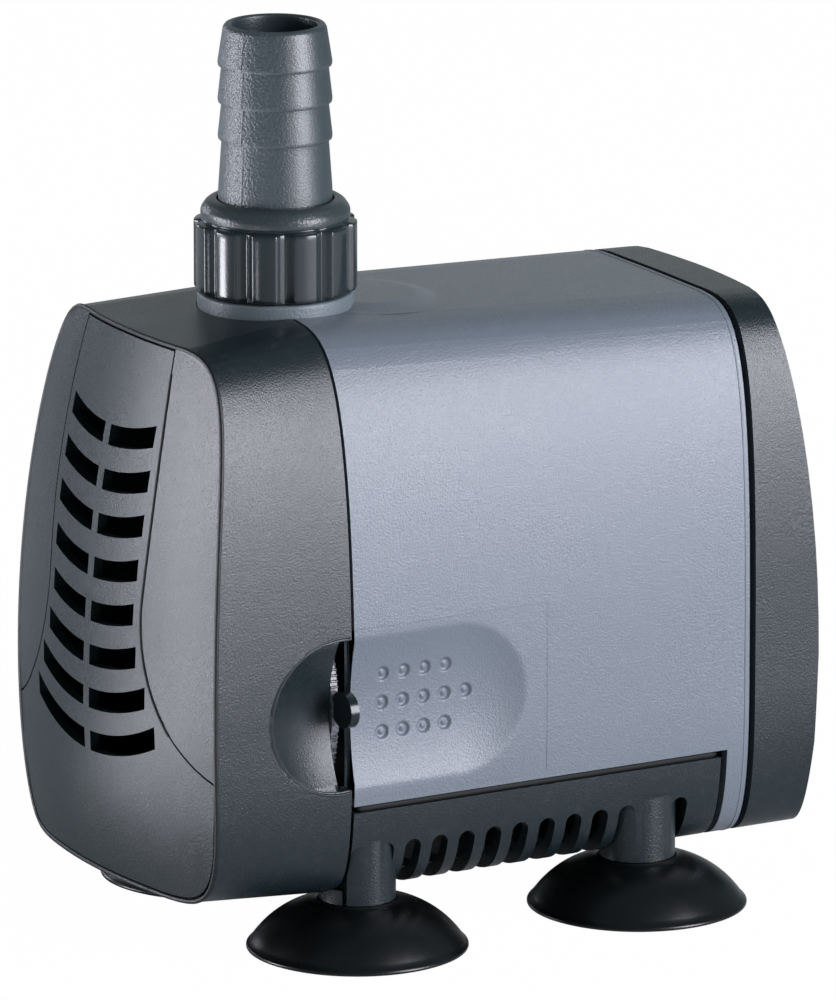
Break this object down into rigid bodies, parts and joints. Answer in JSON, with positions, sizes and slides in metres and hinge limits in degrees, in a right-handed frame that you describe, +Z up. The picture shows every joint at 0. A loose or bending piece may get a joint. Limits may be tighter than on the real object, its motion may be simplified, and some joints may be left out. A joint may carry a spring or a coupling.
{
  "type": "submersible fountain pump",
  "caption": "Submersible fountain pump with vented front cover, side flow regulator, threaded hose outlet, suction-cup feet and a magnet-driven impeller inside.",
  "frame": {"origin": "centre of the footprint's bounding box on the ground, under the pump", "axes": "+X along the pump towards the cable gland at the rear end, +Z up along the hose outlet; the vented front end faces -X"},
  "size_m": [0.1844, 0.1264, 0.216],
  "materials": {
    "housing_dark": "fine spark-eroded texture",
    "housing_light": "fine spark-eroded texture",
    "cup_rubber": "smooth moulded",
    "seal_rubber": "smooth moulded",
    "tail_plastic": "fine texture",
    "nut_plastic": "semi-gloss",
    "inner_plastic": "smooth moulded",
    "impeller_plastic": "smooth moulded",
    "ferrite": "ground ferrite",
    "ceramic": "polished ceramic",
    "lamination_steel": "stamped laminations",
    "bobbin_plastic": "smooth moulded",
    "winding_copper": "enamelled wire",
    "potting_resin": "cast resin",
    "screw_steel": "plain"
  },
  "bodies": {
    "pump_body": {"mid_casing": "housing_light", "rear_cover": "housing_dark", "base_strainer": "housing_dark", "suction_cup_front_left": "cup_rubber", "suction_cup_front_right": "cup_rubber", "suction_cup_rear_left": "cup_rubber", "suction_cup_rear_right": "cup_rubber", "pump_chamber": "inner_plastic", "chamber_cover": "inner_plastic", "chamber_seal": "seal_rubber", "rotor_shaft": "ceramic", "front_bush": "seal_rubber", "rear_bush": "seal_rubber", "thrust_washers": "ceramic", "motor_housing": "inner_plastic", "motor_seal": "seal_rubber", "stator_core": "lamination_steel", "coil_bobbin_left": "bobbin_plastic", "coil_bobbin_right": "bobbin_plastic", "coil_winding_left": "winding_copper", "coil_winding_right": "winding_copper", "potting_cap": "potting_resin", "chamber_screws": "screw_steel", "cable_gland": "seal_rubber"},
    "front_part": {"front_cover": "housing_dark", "front_grille": "housing_dark"},
    "regulator": {"flow_regulator": "inner_plastic"},
    "rotor": {"magnet_rotor": "ferrite"},
    "impeller_wheel": {"impeller": "impeller_plastic"},
    "outlet_tail": {"hose_tail": "tail_plastic", "outlet_gasket": "seal_rubber"},
    "nut": {"union_nut": "nut_plastic"}
  },
  "joints": [
    {"name": "front_cover_slide", "type": "slide", "parent": "pump_body", "child": "front_part", "axis": [-1, 0, 0], "range_m": [0, 0.04]},
    {"name": "regulator_turn", "type": "hinge", "parent": "pump_body", "child": "regulator", "pos_m": [-0.0497, 0, 0.06], "axis": [1, 0, 0], "range_deg": [-13, 13]},
    {"name": "rotor_spin", "type": "hinge", "parent": "pump_body", "child": "rotor", "pos_m": [0, 0, 0.06], "axis": [1, 0, 0], "continuous": true},
    {"name": "impeller_play", "type": "hinge", "parent": "rotor", "child": "impeller_wheel", "pos_m": [0, 0, 0.06], "axis": [1, 0, 0], "range_deg": [0, 277]},
    {"name": "tail_lift", "type": "slide", "parent": "pump_body", "child": "outlet_tail", "axis": [0, 0, 1], "range_m": [0, 0.0127]},
    {"name": "nut_turn", "type": "hinge", "parent": "outlet_tail", "child": "nut", "pos_m": [-0.04115, 0, 0.16], "axis": [0, 0, 1], "range_deg": [0, 1980]}
  ],
  "couplings": [
    {"joint": "tail_lift", "follows": "nut_turn", "m_per_rad": 0.0003675}
  ]
}
